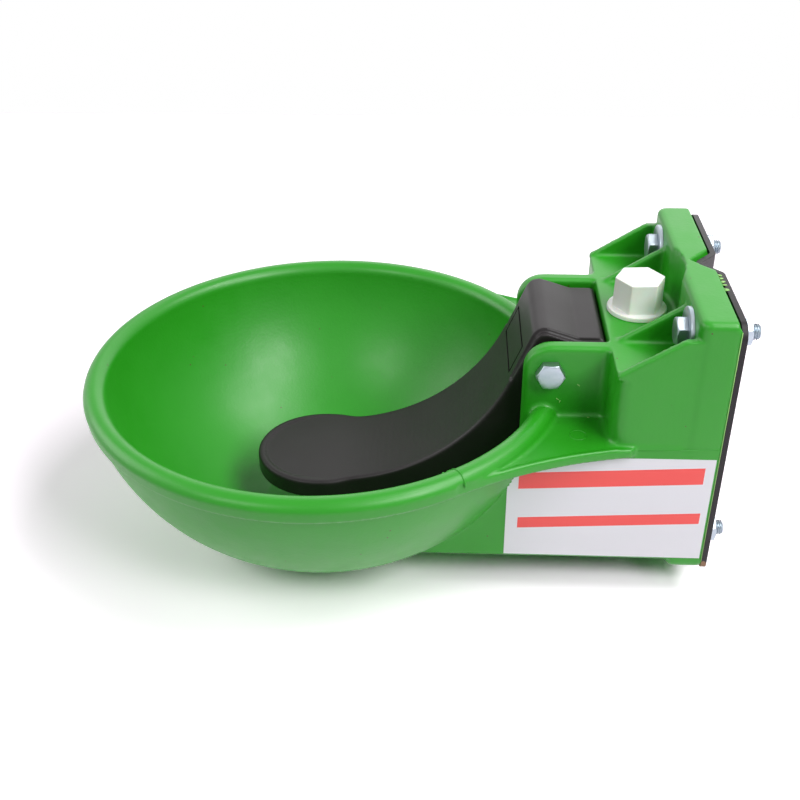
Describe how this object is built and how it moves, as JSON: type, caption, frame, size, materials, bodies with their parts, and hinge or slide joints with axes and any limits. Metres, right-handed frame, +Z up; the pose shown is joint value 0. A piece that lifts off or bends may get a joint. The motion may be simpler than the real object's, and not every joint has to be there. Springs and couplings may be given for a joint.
{
  "type": "livestock drinking bowl",
  "caption": "Round moulded drinking bowl with a push tongue that opens a spring valve, on a flanged housing bolted to a steel plate with a post groove.",
  "frame": {"origin": "centre of the four-bolt pattern, on the moulding's flat back face where the steel plate lies", "axes": "+Z up, -Y towards the animal, +Y towards the wall or post, +X to the side where the pivot bolt's head and the label are"},
  "size_m": [0.26, 0.3459, 0.163],
  "materials": {
    "green_moulding": "semi-gloss injection moulded polypropylene",
    "black_painted_steel": "satin black paint on 3 mm sheet",
    "zinc_steel": "bright zinc plated",
    "brass": "turned brass",
    "black_rubber": "matte",
    "white_plastic": "semi-gloss moulded",
    "stainless_steel": "turned",
    "black_plastic": "satin moulded",
    "printed_label": "plain white film with two plain red bands"
  },
  "bodies": {
    "housing": {"bowl_housing": "green_moulding", "mounting_plate": "black_painted_steel", "fender_washers": "zinc_steel", "spring_washers": "zinc_steel", "mounting_bolts": "zinc_steel", "mounting_nuts": "zinc_steel", "top_inlet_bushing": "brass", "bottom_inlet_bushing": "brass", "plug_seal": "black_rubber", "blind_plug": "white_plastic", "valve_body": "brass", "valve_gasket": "black_rubber", "spring_retainer": "brass", "pivot_bolt": "zinc_steel", "pivot_lock_nut": "zinc_steel", "pivot_sleeve": "stainless_steel", "instruction_label": "printed_label"},
    "tongue": {"tongue": "black_plastic"},
    "stem": {"valve_stem": "stainless_steel", "valve_disc_seal": "black_rubber", "valve_spring": "stainless_steel"}
  },
  "joints": [
    {"name": "tongue_hinge", "type": "hinge", "parent": "housing", "child": "tongue", "pos_m": [0, -0.0835, 0.0316], "axis": [1, 0, 0], "range_deg": [0, 7]},
    {"name": "valve_stem_slide", "type": "slide", "parent": "housing", "child": "stem", "axis": [0, 1, 0], "range_m": [0, 0.0044], "stiffness_N_per_m": 1500, "springref_m": -0.008, "deforming": ["valve_spring"]}
  ],
  "couplings": [
    {"joint": "valve_stem_slide", "follows": "tongue_hinge", "m_per_rad": 0.035}
  ]
}
